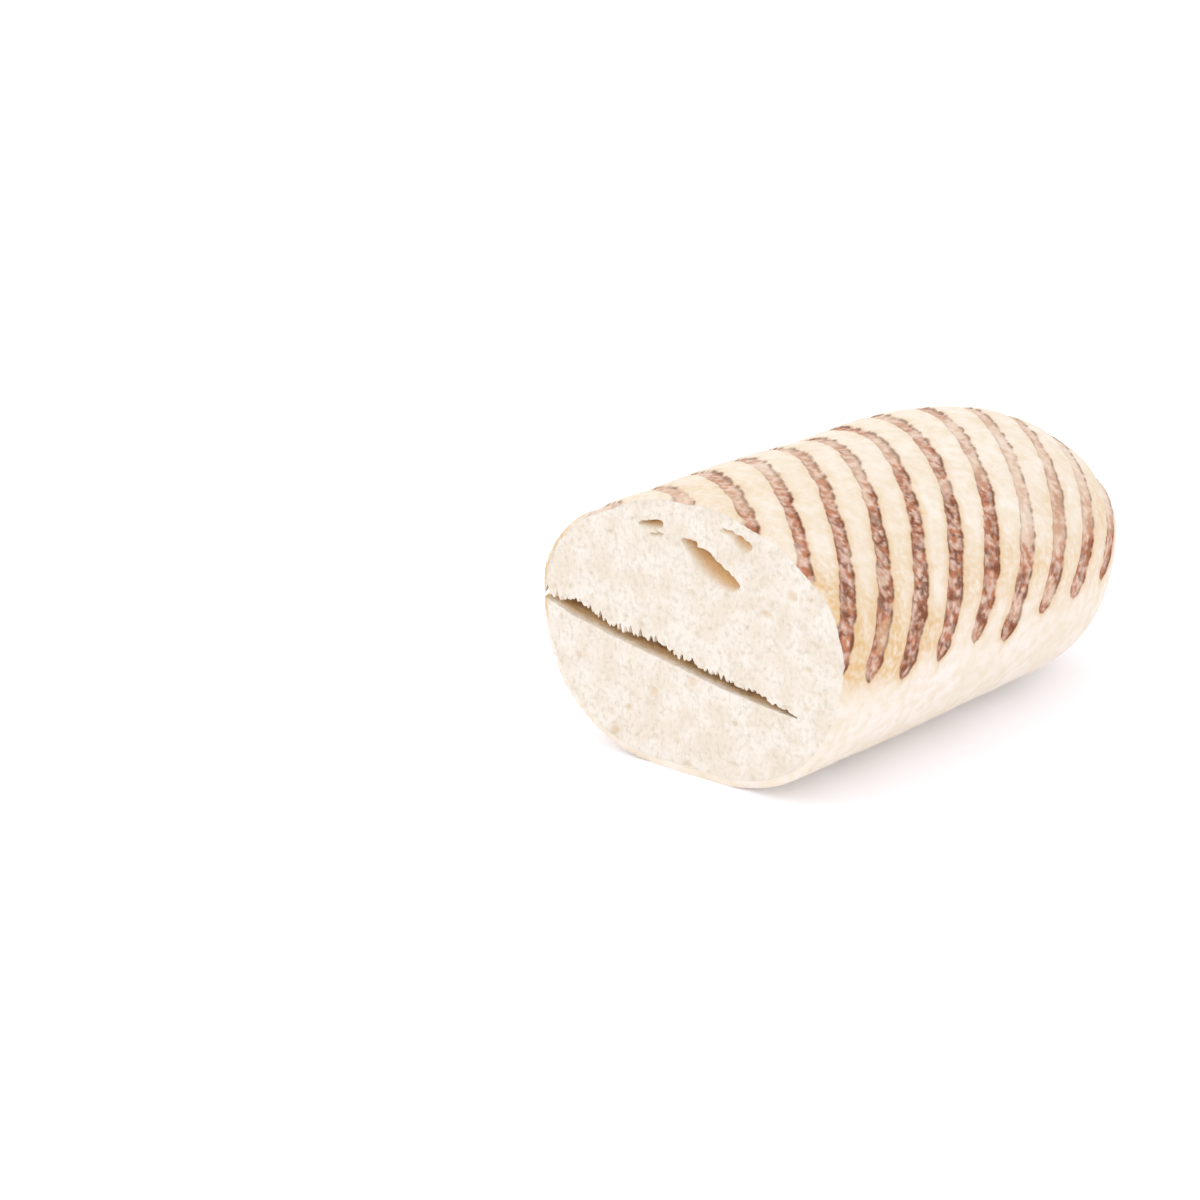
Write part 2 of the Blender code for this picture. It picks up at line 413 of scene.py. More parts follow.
# %% [markdown]
# ## The cut face
#
# A bread knife never leaves a plane. It drags the crumb into a fine nap, opens small pores and lets
# the rim sink back a little, so that the edge comes out rounded. The block that the knife sweeps
# away is a solid too, so its front can carry all that relief, and taking it from the loaf leaves the
# same relief on the bread. The rim's share comes from the distance to the outline of the section.

# %% Nap and rim
FACE_NAP = (0.95 * MM, 0.10 * MM, 4.4)
FACE_GRAIN = (2.6 * MM, 0.09 * MM, 8.2)
FACE_WAVE = (14 * MM, 0.2 * MM, 6.0)
RIM_ROUNDING = 1.6 * MM
RIM_POINTS = 720


def rim_depth(points):
    """How far the rim has sunk back from the knife's plane: rounded and a little uneven."""
    rim = section(CUT_X, np.linspace(0.0, math.tau, RIM_POINTS, endpoint=False))
    tree = kdtree.KDTree(len(rim))
    for number, place in enumerate(rim):
        tree.insert(place, number)
    tree.balance()
    away = np.array([tree.find(place)[2] for place in points.reshape(-1, 3)])
    reach = RIM_ROUNDING * (0.75 + 0.5 * rough(points, 5 * MM, 2.5))
    share = 0.9 * np.clip(1.0 - away.reshape(points.shape[:-1]) / reach, 0.0, 1.0)
    return reach * (1.0 - np.sqrt(1.0 - share**2))


def face_relief(points):
    """How far the cut surface lies behind the knife's plane, in metres."""
    nap = layer(points, *FACE_NAP) + layer(points, *FACE_GRAIN)
    return nap + layer(points, *FACE_WAVE) + rim_depth(points)


print("rim rounded over about", round(RIM_ROUNDING / MM, 1), "mm")

# %% [markdown]
# ## Open bubbles
#
# The few large bubbles near the top are gas that the dough folded in. The knife opened them at a
# slant, so each has a floor that falls away gently from its lower edge and a steep, ragged wall
# above. Plain ellipsoids would look punched. The half length and the two reaches below say where a
# bubble's edge lies, and its turn is counted from the horizontal.

# %% Large bubbles, in millimetres and degrees
# Middle on the face, half length, reach below and above it, depth, turn
PITS = (
    ((-5.1, 44.9), 7.9, 3.5, 1.2, 6.0, 26.0),
    ((9.8, 50.0), 3.2, 1.4, 0.6, 2.8, -10.0),
    ((8.8, 47.8), 2.2, 0.6, 0.4, 0.9, -10.0),
    ((-9.8, 51.5), 2.6, 1.0, 0.6, 1.7, 10.0),
    ((-12.6, 50.5), 2.5, 2.2, 0.8, 2.6, 15.0),
)
WALL_RAGGEDNESS = 0.45
WALL_GRAIN = 1.6 * MM


def pit_depth(points, middle, half, below, above, deep, turn):
    """One open bubble: a long gentle slope from below, and a steep ragged wall above."""
    y = points[..., 1] / MM - middle[0]
    z = points[..., 2] / MM - middle[1]
    along = y * math.cos(math.radians(turn)) + z * math.sin(math.radians(turn))
    across = z * math.cos(math.radians(turn)) - y * math.sin(math.radians(turn))
    end = np.sqrt(np.clip(1.0 - (along / half) ** 2, 1e-6, 1.0))
    ragged = 1.0 + WALL_RAGGEDNESS * rough(points, WALL_GRAIN, 2.0 * deep)
    upper = above * end * ragged
    lower = below * end * (1.0 - 0.4 * along / half)
    share = (across + lower) / (upper + lower)
    slope = smoothstep(0.0, 0.8, share) * (1.0 - smoothstep(0.88, 1.0, share))
    return deep * MM * np.sqrt(end) * slope


print(len(PITS), "bubbles, the longest", 2 * PITS[0][1], "mm")

# %% [markdown]
# ## Pores and the knife block
#
# This parbaked crumb is close and even, so most pores are small and shallow. Their sizes follow a
# Pareto law, in which small ones are common and large ones rare, as in a real foam. They are placed
# by a random generator with a fixed seed, so that every run gives the same face.

# %% Pores and the knife block
FACE_SPACING = 0.4 * MM
FACE_MARGIN = 7 * MM
BLOCK_DEPTH = 14 * MM
PORE_COUNT = 420
PORE_SEED = 23
PORE_SMALLEST = 0.35 * MM
PORE_LARGEST = 1.5 * MM
PORE_SPREAD = 0.28 * MM
PORE_LAW = 2.6
PORE_DEPTH_SHARE = 0.5


def pore_depth(y, z):
    """Shallow pores scattered over the face: flattened, turned pits."""
    depth = np.zeros_like(y)
    scatter = np.random.default_rng(PORE_SEED)
    for _ in range(PORE_COUNT):
        middle_y = scatter.uniform(-0.5, 0.5) * ROLL_WIDTH
        middle_z = scatter.uniform(0.02, 0.98) * ROLL_HEIGHT
        size = min(PORE_SMALLEST + scatter.pareto(PORE_LAW) * PORE_SPREAD, PORE_LARGEST)
        flat = scatter.uniform(0.45, 0.85)
        turn = scatter.uniform(-0.9, 0.5)
        along = (y - middle_y) * math.cos(turn) + (z - middle_z) * math.sin(turn)
        across = (z - middle_z) * math.cos(turn) - (y - middle_y) * math.sin(turn)
        away = np.sqrt((along / size) ** 2 + (across / (size * flat)) ** 2)
        pit = size * PORE_DEPTH_SHARE * (1.0 - smoothstep(0.35, 1.15, away))
        depth = np.maximum(depth, pit)
    return depth


def knife_block():
    """The block that the knife sweeps away, with the cut face's relief on its front."""
    half = ROLL_WIDTH / 2 + FACE_MARGIN
    columns = np.linspace(-half, half, int(2 * half / FACE_SPACING))
    rows = np.arange(-FACE_MARGIN, ROLL_HEIGHT + FACE_MARGIN, FACE_SPACING)
    y, z = np.meshgrid(columns, rows)
    flat = np.stack([np.full_like(y, CUT_X), y, z], axis=-1)
    opened = [pit_depth(flat, *pit) for pit in PITS]
    depth = face_relief(flat) + np.maximum(pore_depth(y, z), np.max(opened, axis=0))
    front = flat + np.stack([depth, 0 * y, 0 * y], axis=-1)
    behind = np.full(len(rows), CUT_X - BLOCK_DEPTH)
    right = np.stack([behind, np.full(len(rows), half), rows], axis=-1)[:, None]
    left = np.stack([behind, np.full(len(rows), -half), rows], axis=-1)[:, None]
    return solid_from_rings("knife_block", np.concatenate([front, right, left], axis=1))


block = knife_block()
print("knife block:", len(block.data.polygons), "faces and", PORE_COUNT, "pores")

# %% [markdown]
# ## The slit
#
# The second cut was made with a serrated blade from the side, and it stops short, so that a hinge of
# crust holds the halves together. A wedge is the plain form of it. It opens quickly next to the
# hinge, up to a shoulder, and then slowly. The gap is widest a little way in, and it nearly closes
# at the mouth, where the soft crust sprang back.

# %% The slit's gap
SLIT_MOUTH_Z = 30.0 * MM
SLIT_HINGE_Y = -26.5 * MM
SLIT_HINGE_Z = 18.2 * MM
SLIT_REACH = ROLL_WIDTH / 2 - SLIT_HINGE_Y
SLIT_GAP_CUT_END = 3.0 * MM
SLIT_GAP_FAR_END = 1.2 * MM
SLIT_GAP_HINGE = 0.5 * MM
SHOULDER_AT = 0.22
SHOULDER_OPENING = 0.75
MOUTH_CLOSING = 0.6
MOUTH_CLOSED_FROM = 0.86
SLIT_OVERRUN = 8 * MM


def slit_gap(x, opened):
    """Height of the gap at x. At the hinge, opened is 0, and at the mouth it is 1."""
    along = (x - CUT_X + SLIT_OVERRUN) / (TIP_X - CUT_X + 2 * SLIT_OVERRUN)
    mouth = SLIT_GAP_CUT_END + (SLIT_GAP_FAR_END - SLIT_GAP_CUT_END) * along
    inner = SLIT_GAP_HINGE + (SHOULDER_OPENING * mouth - SLIT_GAP_HINGE) * opened / SHOULDER_AT
    outer = (1.0 - SHOULDER_OPENING) * (opened - SHOULDER_AT) / (1.0 - SHOULDER_AT)
    gap = np.where(opened < SHOULDER_AT, inner, mouth * (SHOULDER_OPENING + outer))
    return gap * (1.0 - MOUTH_CLOSING * smoothstep(MOUTH_CLOSED_FROM, 1.0, opened))


print("slit:", round(SLIT_REACH / MM, 1), "mm deep, out of", round(ROLL_WIDTH / MM), "mm")

# %% [markdown]
# ## Torn teeth
#
# The serrations tore the crumb above the blade into small teeth, which show along the upper lip,
# while the lower lip was pressed smooth and soft. The teeth run inwards along the wedge, fading as
# they go. Folded noise gives them their points: the absolute value of noise has a sharp crease where
# the noise crosses zero. Each could be a small cone, but creases are never quite alike.

# %% The slit's wedge
TOOTH_SPACING = 0.3 * MM
TOOTH_HEIGHT = 2.1 * MM
TOOTH_WIDTH = 1.3 * MM
TOOTH_REACH = 5 * MM
TUFT_WIDTH = 5 * MM
TEETH_START = 1.2 * MM
FAR_SPACING = 1.1 * MM
LIP_DROP = 0.6 * MM
LIP_REACH = 1.6 * MM
LEAST_GAP = 0.15 * MM
SLIT_WANDER = (17 * MM, 0.35 * MM, 21.0)
SLIT_GRAIN = (1.3 * MM, 0.12 * MM, 25.0)


def slit_places():
    """Places along the roll: close together where the teeth are, then wider apart."""
    near = np.arange(CUT_X - TEETH_START, CUT_X + TOOTH_REACH, TOOTH_SPACING)
    far = np.arange(near[-1] + FAR_SPACING, TIP_X + SLIT_OVERRUN, FAR_SPACING)
    return np.concatenate([[CUT_X - SLIT_OVERRUN], near, far])


def teeth(x, y):
    """How far torn crumb hangs down from the upper lip, in metres."""
    place = np.stack([x * 0.3, y, 0 * y], axis=-1)
    points = 1.0 - 2.6 * np.abs(rough(place, TOOTH_WIDTH, 12.0))
    splinters = 0.35 * rough(place, TOOTH_WIDTH / 2.0, 15.0)
    tufts = 0.7 + 0.6 * rough(place, TUFT_WIDTH, 18.0)
    fade = 1.0 - 0.8 * smoothstep(0.5 * MM, TOOTH_REACH, x - CUT_X)
    return TOOTH_HEIGHT * (points + splinters) * tufts * fade


def slit_wedge():
    """The solid that the blade takes out, from inside the hinge to outside the mouth."""
    outer_y = ROLL_WIDTH / 2 + SLIT_OVERRUN
    columns = np.linspace(SLIT_HINGE_Y, outer_y, int((outer_y - SLIT_HINGE_Y) / TOOTH_SPACING))
    x, y = np.meshgrid(slit_places(), columns, indexing="ij")
    opened = (y - SLIT_HINGE_Y) / SLIT_REACH
    gap = slit_gap(x, opened)
    slope = (SLIT_MOUTH_Z - SLIT_HINGE_Z) / SLIT_REACH
    middle = SLIT_HINGE_Z + slope * (y - SLIT_HINGE_Y)
    place = np.stack([x, y, middle], axis=-1)
    wander = layer(place, *SLIT_WANDER) * np.clip(opened * 4.0, 0.0, 1.0)
    drop = LIP_DROP * np.exp(-((x - CUT_X) / LIP_REACH).clip(0.0)) * np.clip(opened * 3.0, 0.0, 1.0)
    floor = middle - gap / 2 + wander + layer(place, *SLIT_GRAIN) - drop
    torn = (teeth(x, y) - TOOTH_HEIGHT / 3) * np.clip(opened * 5.0, 0.3, 1.0)
    roof = np.maximum(middle + gap / 2 + wander - torn, floor + LEAST_GAP)
    lower = np.stack([x, y, floor], axis=-1)
    upper = np.stack([x, y, roof], axis=-1)[:, ::-1]
    return solid_from_rings("slit_wedge", np.concatenate([lower, upper], axis=1))


wedge = slit_wedge()
print("slit wedge:", len(wedge.data.polygons), "faces")

# %% [markdown]
# ## Cutting
#
# Now the solids are cut as the baker cut the bread. Booleans on meshes this fine are slow with the
# exact solver, and the manifold solver does them in about a second, because every form here is
# closed. The crust is the loaf without the inner loaf, and the crumb is what both share.


# %% Booleans
def cut(body, tool, operation="DIFFERENCE"):
    """Applies one Boolean to the body."""
    modifier = body.modifiers.new("cut", "BOOLEAN")
    modifier.operation = operation
    modifier.solver = "MANIFOLD"
    modifier.object = tool
    graph = bpy.context.evaluated_depsgraph_get()
    result = bpy.data.meshes.new_from_object(body.evaluated_get(graph))
    body.modifiers.clear()
    body.data = result


def duplicate(source, name):
    """A second object with a mesh of its own."""
    copy = bpy.data.objects.new(name, source.data.copy())
    bpy.context.scene.collection.objects.link(copy)
    return copy


crust = duplicate(loaf, "crust")
crumb = duplicate(loaf, "crumb")
cut(crust, core)
cut(crumb, core, "INTERSECT")
for tool in (block, wedge):
    cut(crust, tool)
    cut(crumb, tool)
for tool in (loaf, core, block, wedge):
    bpy.data.objects.remove(tool)
print("crust", len(crust.data.polygons), "faces, crumb", len(crumb.data.polygons), "faces")

# %% [markdown]
# ## One closed skin each
#
# Where two fine meshes cross, a solver leaves chips of a few faces that float free, and points closer
# together than a grain of flour is wide. Faces there can also share a diagonal, and then four
# triangles would meet at one edge. A printer or a simulation stumbles over all three. So the chips
# are dropped, the points joined, and the faces that share a diagonal split from their middles.

# %% Chips, doubled points and shared diagonals
JOINED_BELOW = 0.001 * MM


def islands(mesh):
    """The separate surfaces of a bmesh, as sets of faces."""
    left, found = set(mesh.faces), []
    while left:
        island, fresh = set(), [left.pop()]
        while fresh:
            face = fresh.pop()
            island.add(face)
            beside = {other for edge in face.edges for other in edge.link_faces} & left
            left -= beside
            fresh.extend(beside)
        found.append(island)
    return found


def corner_pairs(face):
    """Every pair of a face's corners, lowest number first: its edges and its diagonals."""
    return combinations(sorted(corner.index for corner in face.verts), 2)


def sharing_diagonals(mesh):
    """Faces with a diagonal that another face or edge has too."""
    uses = Counter(pair for face in mesh.faces for pair in corner_pairs(face))
    uses.subtract(tuple(sorted(corner.index for corner in edge.verts)) for edge in mesh.edges)
    return [f for f in mesh.faces if len(f.verts) > 3 and any(uses[pair] > 1 for pair in corner_pairs(f))]


def close_up(piece):
    """Leaves one closed surface of triangles, and tells how many edges are still open or shared."""
    mesh = bmesh.new()
    mesh.from_mesh(piece.data)
    for chip in sorted(islands(mesh), key=len)[:-1]:
        bmesh.ops.delete(mesh, geom=list(chip), context="FACES")
    bmesh.ops.remove_doubles(mesh, verts=mesh.verts, dist=JOINED_BELOW)
    mesh.verts.index_update()
    bmesh.ops.poke(mesh, faces=sharing_diagonals(mesh))
    bmesh.ops.triangulate(mesh, faces=mesh.faces)
    faulty = sum(not edge.is_manifold for edge in mesh.edges)
    mesh.to_mesh(piece.data)
    mesh.free()
    return faulty


for piece in (crust, crumb):
    faulty = close_up(piece)
    print(piece.name, len(piece.data.polygons), "triangles,", faulty, "faulty edges")

# %% [markdown]
# ## Numbers that the finishes read
#
# The finishes have to know where the bars pressed and how deep a hollow is. A material could work
# that out from coordinates, but the mesh already knows it. So each point stores a few numbers, which
# the materials read by name: how far inside a mark it lies and how far past the mark's middle, how
# hard it was scorched together with a painted highlight over the crown, how golden the skin is there,
# and how far a point of the crumb lies in from the cut face or the slit's mouth, which sets the
# painted shade in the hollows. The two distances on the marks are stored in millimetres, and the
# rest as shares from 0 to 1.

# %% How brown the marks and the skin are, and the painted highlight on the marks
HIGHLIGHT_FROM = 48 * MM
HIGHLIGHT_LOWER = 18 * MM
HIGHLIGHT_BLEND = 10 * MM
HIGHLIGHT_NEAR = 0.68
HIGHLIGHT_MORE = 0.17
FAR_MARKS = (7.0, 10.0)
GOLDEN_FULL = (MARK_REACH_NEAR - 4 * MM, MARK_REACH_NEAR + 6 * MM)
GOLDEN_FADING = (36 * MM, 52 * MM)
GOLDEN_FROM_CUT = 42 * MM
GOLDEN_STRENGTH = 2.2


def scorch_with_highlight(points):
    """How brown each mark is, broken in places, and paled by a painted highlight over the crown, sooner so
    at the far end.
    """
    number, _ = mark_number(points)
    far = smoothstep(*FAR_MARKS, number)
    start = HIGHLIGHT_FROM - HIGHLIGHT_LOWER * far
    # Painted highlight: the marks are paled towards the top, where the crown catches the light.
    painted_highlight = (HIGHLIGHT_NEAR + HIGHLIGHT_MORE * far) * smoothstep(start, start + HIGHLIGHT_BLEND, points[:, 2])
    patches = 0.5 + 0.9 * rough(points, 13 * MM, 31.0)
    breaks = smoothstep(-0.42, -0.22, rough(points, 8 * MM, 37.0))
    scorch_and_highlight = FIRMNESS[number] * (1.0 - painted_highlight) + 0.4 * (patches - 0.5)
    return np.clip(scorch_and_highlight * (0.35 + 0.65 * breaks), 0.0, 1.0)


def golden_skin(points):
    """Where the skin between the marks took some colour: beside the marks and near the cut."""
    sides = smoothstep(*GOLDEN_FULL, points[:, 2])
    low = 1.0 - smoothstep(*GOLDEN_FADING, points[:, 2])
    near_cut = 1.0 - smoothstep(0.0, GOLDEN_FROM_CUT, points[:, 0] - CUT_X)
    patches = GOLDEN_STRENGTH * (0.5 + 0.8 * rough(points, 11 * MM, 41.0))
    return np.clip(sides * (0.25 + 0.75 * low) * (0.35 + 0.65 * near_cut) * patches, 0.0, 1.0)


print("marks fade above", round(HIGHLIGHT_FROM / MM), "mm, at the far end", round(HIGHLIGHT_LOWER / MM), "lower")

# %% Store the numbers
SHADE_REACH = 9 * MM


def points_of(piece):
    """Places of all the points of a piece."""
    places = np.empty(len(piece.data.vertices) * 3, np.float32)
    piece.data.vertices.foreach_get("co", places)
    return places.reshape(-1, 3).astype(float)


def store(piece, name, values):
    """Stores one number at each point of a piece."""
    attribute = piece.data.attributes.new(name, "FLOAT", "POINT")
    attribute.data.foreach_set("value", values.astype(np.float32))


def hollow_shade_share(points):
    """How far in from the cut face or the slit's mouth a point lies, as a share of the reach: the mask for
    the painted shade in the crumb's hollows.
    """
    behind = points[:, 0] - CUT_X
    inside = ROLL_WIDTH / 2 * remaining(points[:, 0], PLAN_FULLNESS) - points[:, 1]
    return np.clip(np.minimum(behind, inside) / SHADE_REACH, 0.0, 1.0)


skin_points = points_of(crust)
store(crust, "mark_inset", mark_inset(skin_points) / MM)
store(crust, "mark_past", mark_number(skin_points)[1] / MM)
store(crust, "scorch", scorch_with_highlight(skin_points))
store(crust, "golden", golden_skin(skin_points))
# The crumb's depth share is the mask for the painted shade in its hollows.
store(crumb, "hollow_shade", hollow_shade_share(points_of(crumb)))
print("marks cover", round(100 * float((mark_inset(skin_points) > 0).mean())), "% of the crust's points")

# %% [markdown]
# ## Helpers for finishes
#
# Colours are given as sRGB hex values, the way a paint shop would, and one function turns them into
# the linear values that the renderer needs. Another adds a node, sets it up and links it, so that
# each finish below reads as a list of what it is made of.


# %% Colour and node helpers
def linear(hex_colour):
    """Linear red, green, blue and alpha of an sRGB hex colour."""
    channels = [int(hex_colour[i : i + 2], 16) / 255 for i in (1, 3, 5)]
    return [c / 12.92 if c <= 0.04045 else ((c + 0.055) / 1.055) ** 2.4 for c in channels] + [1.0]


def add(tree, kind, inputs=None, output=0, **options):
    """Adds a node and returns one of its outputs. An input takes a socket, a hex colour or a value."""
    node = tree.nodes.new(kind)
    for name, value in options.items():
        setattr(node, name, value)
    for name, value in (inputs or {}).items():
        if isinstance(value, bpy.types.NodeSocket):
            tree.links.new(value, node.inputs[name])
        else:
            node.inputs[name].default_value = linear(value) if isinstance(value, str) else value
    return node.outputs[output] if node.outputs else None


def finish(name):
    """A new material and its node tree, still empty."""
    made = bpy.data.materials.new(name)
    made.use_nodes = True
    made.node_tree.nodes.clear()
    return made, made.node_tree


print("middle grey, #808080, in linear light:", round(linear("#808080")[0], 3))

# %% [markdown]
# ## Finish: parbaked wheat crust
#
# The skin is dried starch and flour: matte, with a faint bloom, and no browning except where metal
# touched it. The colour is a cream that drifts towards ivory over about a centimetre, with a straw
# mottle over 2.6 mm, and gold where the skin took some heat. One picture of a real crust could be
# wrapped round the roll instead, but noise has no seams and stays sharp at any size. The dusting of
# flour is a few tenths of a millimetre, too fine for the picture, so it is drawn coarser, at 1.1 mm.

# %% The skin between the marks
CREAM = "#F0E4D5"
IVORY = "#F5ECE2"
STRAW = "#E4D2B4"
GOLD = "#DFBB88"
DRIFT_SIZE = 11 * MM
MOTTLE_SIZE = 2.6 * MM
FLOUR_SIZE = 1.1 * MM

crust_material, tree = finish("parbaked_wheat_crust")
place = add(tree, "ShaderNodeTexCoord", output="Object")
golden = add(tree, "ShaderNodeAttribute", output="Fac", attribute_name="golden")
drift = add(tree, "ShaderNodeTexNoise", {"Vector": place, "Scale": 1 / DRIFT_SIZE})
mottle = add(tree, "ShaderNodeTexNoise", {"Vector": place, "Scale": 1 / MOTTLE_SIZE, "Detail": 3.0})
flour = add(tree, "ShaderNodeTexNoise", {"Vector": place, "Scale": 1 / FLOUR_SIZE, "Detail": 0.5})

share = add(tree, "ShaderNodeMapRange", {"Value": drift, "From Min": 0.35, "From Max": 0.65})
skin_colour = add(tree, "ShaderNodeMix", {
    "Factor": share, "A": CREAM, "B": IVORY,
}, "Result", data_type="RGBA")

share = add(tree, "ShaderNodeMapRange", {
    "Value": mottle, "From Min": 0.42, "From Max": 0.64, "To Max": 0.45,
})
skin_colour = add(tree, "ShaderNodeMix", {
    "Factor": share, "A": skin_colour, "B": STRAW,
}, "Result", data_type="RGBA")

share = add(tree, "ShaderNodeMapRange", {
    "Value": flour, "From Min": 0.3, "From Max": 0.65, "To Min": 0.35,
})
share = add(tree, "ShaderNodeMath", {0: golden, 1: share}, operation="MULTIPLY")
skin_colour = add(tree, "ShaderNodeMix", {
    "Factor": share, "A": skin_colour, "B": GOLD,
}, "Result", data_type="RGBA")
print("skin between the marks:", len(tree.nodes), "nodes so far")

# %% [markdown]
# ## The outline, halo and rims of a mark
#
# Each mark has a ragged outline, a halo of tanned skin round it, and two rims that the bar's edges
# burnt. The rims stay dark over the crown, where the painted highlight pales the middle of the mark.
# They could be painted by hand, but the stored distance to the mark's edge gives them all: the halo is
# a slow ramp outside the edge, and a rim is a short one inside it, which the mottle breaks into
# dashes. The rim that is turned away from the cut face is the darker of the two.

# %% Halo, outline and rims, in millimetres from the edge
HALO_REACH = 1.7
OUTLINE_BLUR = 0.25
RIM_FULL = 0.3
RIM_GONE = 0.95

inset = add(tree, "ShaderNodeAttribute", output="Fac", attribute_name="mark_inset")
past = add(tree, "ShaderNodeAttribute", output="Fac", attribute_name="mark_past")
# The stored scorch carries the painted highlight that pales the marks over the crown.
scorch_and_highlight = add(tree, "ShaderNodeAttribute", output="Fac", attribute_name="scorch")
ragged = add(tree, "ShaderNodeMath", {0: mottle, 1: 1.1, 2: -0.55}, operation="MULTIPLY_ADD")
edge = add(tree, "ShaderNodeMath", {0: inset, 1: ragged}, operation="ADD")
inside = add(tree, "ShaderNodeMapRange", {
    "Value": edge, "From Min": -OUTLINE_BLUR, "From Max": OUTLINE_BLUR,
}, interpolation_type="SMOOTHSTEP")

halo = add(tree, "ShaderNodeMapRange", {
    "Value": edge, "From Min": -HALO_REACH, "From Max": 0.0, "To Max": 0.65,
})
halo = add(tree, "ShaderNodeMath", {0: halo, 1: scorch_and_highlight}, operation="MULTIPLY")
skin_colour = add(tree, "ShaderNodeMix", {
    "Factor": halo, "A": skin_colour, "B": GOLD,
}, "Result", data_type="RGBA")

rim = add(tree, "ShaderNodeMapRange", {
    "Value": edge, "From Min": RIM_FULL, "From Max": RIM_GONE, "To Min": 1.0, "To Max": 0.0,
})
pressed = add(tree, "ShaderNodeMapRange", {
    "Value": past, "From Min": -0.5, "From Max": 1.0, "To Min": 0.75,
})
dashes = add(tree, "ShaderNodeMapRange", {
    "Value": mottle, "From Min": 0.4, "From Max": 0.54, "To Min": 0.3,
})
rim = add(tree, "ShaderNodeMath", {0: rim, 1: pressed}, operation="MULTIPLY")
rim = add(tree, "ShaderNodeMath", {0: rim, 1: dashes}, operation="MULTIPLY")
print("halo", HALO_REACH, "mm outside the edge, rims", RIM_GONE, "mm inside it")

# %% [markdown]
# ## Inside a mark
#
# Between its rims a mark is a Maillard crust: red-brown, with pale blisters where the skin lifted
# off the bar, ringed by darker curls. Noise gives the blisters. The curls are the edges of Voronoi
# cells, bent by more noise so that they don't look like a net. Real ones are about a millimetre
# across and are drawn a little coarser. Where a mark is faint or paled by the painted highlight, less
# of its colour covers the skin.

# %% Blisters, curls and cover
SCORCH = "#C08060"
SCORCH_PALE = "#E8C8B6"
SCORCH_DARK = "#66331A"
BLISTER_SIZE = 1.7 * MM
CURL_SIZE = 2.6 * MM
SWAY_SIZE = 1.6 * MM
SWAY = (1.8 * MM,) * 3

blister = add(tree, "ShaderNodeTexNoise", {"Vector": place, "Scale": 1 / BLISTER_SIZE, "Detail": 1.0})
blister = add(tree, "ShaderNodeMapRange", {
    "Value": blister, "From Min": 0.4, "From Max": 0.6, "To Min": 0.9, "To Max": 0.0,
})
scorch = add(tree, "ShaderNodeMix", {
    "Factor": blister, "A": SCORCH, "B": SCORCH_PALE,
}, "Result", data_type="RGBA")

sway = add(tree, "ShaderNodeTexNoise", {"Vector": place, "Scale": 1 / SWAY_SIZE}, "Color")
bent = add(tree, "ShaderNodeVectorMath", {0: sway, 1: SWAY, 2: place}, operation="MULTIPLY_ADD")
curls = add(tree, "ShaderNodeTexVoronoi", {
    "Vector": bent, "Scale": 1 / CURL_SIZE,
}, "Distance", feature="DISTANCE_TO_EDGE")
curls = add(tree, "ShaderNodeMapRange", {
    "Value": curls, "From Min": 0.06, "From Max": 0.3, "To Min": 1.0, "To Max": 0.0,
})
blotch = add(tree, "ShaderNodeMapRange", {
    "Value": mottle, "From Min": 0.42, "From Max": 0.6, "To Min": 0.25,
})
curls = add(tree, "ShaderNodeMath", {0: curls, 1: blotch}, operation="MULTIPLY")
curls = add(tree, "ShaderNodeMath", {0: curls, 1: scorch_and_highlight}, operation="MULTIPLY")
burnt = add(tree, "ShaderNodeMath", {0: rim, 1: curls}, operation="MAXIMUM")
burnt = add(tree, "ShaderNodeMath", {0: burnt, 1: 0.85}, operation="MULTIPLY")
scorch = add(tree, "ShaderNodeMix", {
    "Factor": burnt, "A": scorch, "B": SCORCH_DARK,
}, "Result", data_type="RGBA")

# Where the painted highlight pales a mark, less of its colour covers the skin.
cover = add(tree, "ShaderNodeMapRange", {
    "Value": scorch_and_highlight, "From Min": 0.05, "From Max": 0.55, "To Min": 0.3,
})
faint = add(tree, "ShaderNodeMath", {0: rim, 1: 0.75}, operation="MULTIPLY")
cover = add(tree, "ShaderNodeMath", {0: cover, 1: faint}, operation="MAXIMUM")
cover = add(tree, "ShaderNodeMath", {0: cover, 1: inside}, operation="MULTIPLY")
colour = add(tree, "ShaderNodeMix", {
    "Factor": cover, "A": skin_colour, "B": scorch,
}, "Result", data_type="RGBA")
print("blisters", round(BLISTER_SIZE / MM, 1), "mm and curls", round(CURL_SIZE / MM, 1), "mm across")

# %% [markdown]
# ## The crust's shader
#
# Starch has an IOR near 1.5 and scatters light widely, so the roughness is high and there is no
# gloss. The roughness and the IOR are the same all over, so they sit on the shader itself. The
# mottle and the flour also raise a low bump, finer than the relief in the mesh.

# %% The crust's shader
CRUST_IOR = 1.48
CRUST_ROUGHNESS = 0.75
CRUST_BUMP = 0.2 * MM

height = add(tree, "ShaderNodeMath", {0: mottle, 1: 0.6, 2: flour}, operation="MULTIPLY_ADD")
bump = add(tree, "ShaderNodeBump", {"Height": height, "Strength": 0.3, "Distance": CRUST_BUMP})
shader = add(tree, "ShaderNodeBsdfPrincipled", {
    "Base Color": colour, "Normal": bump, "Roughness": CRUST_ROUGHNESS,
    "IOR": CRUST_IOR, "Specular IOR Level": 0.3,
})
add(tree, "ShaderNodeOutputMaterial", {"Surface": shader})
print(crust_material.name, "with", len(tree.nodes), "nodes")

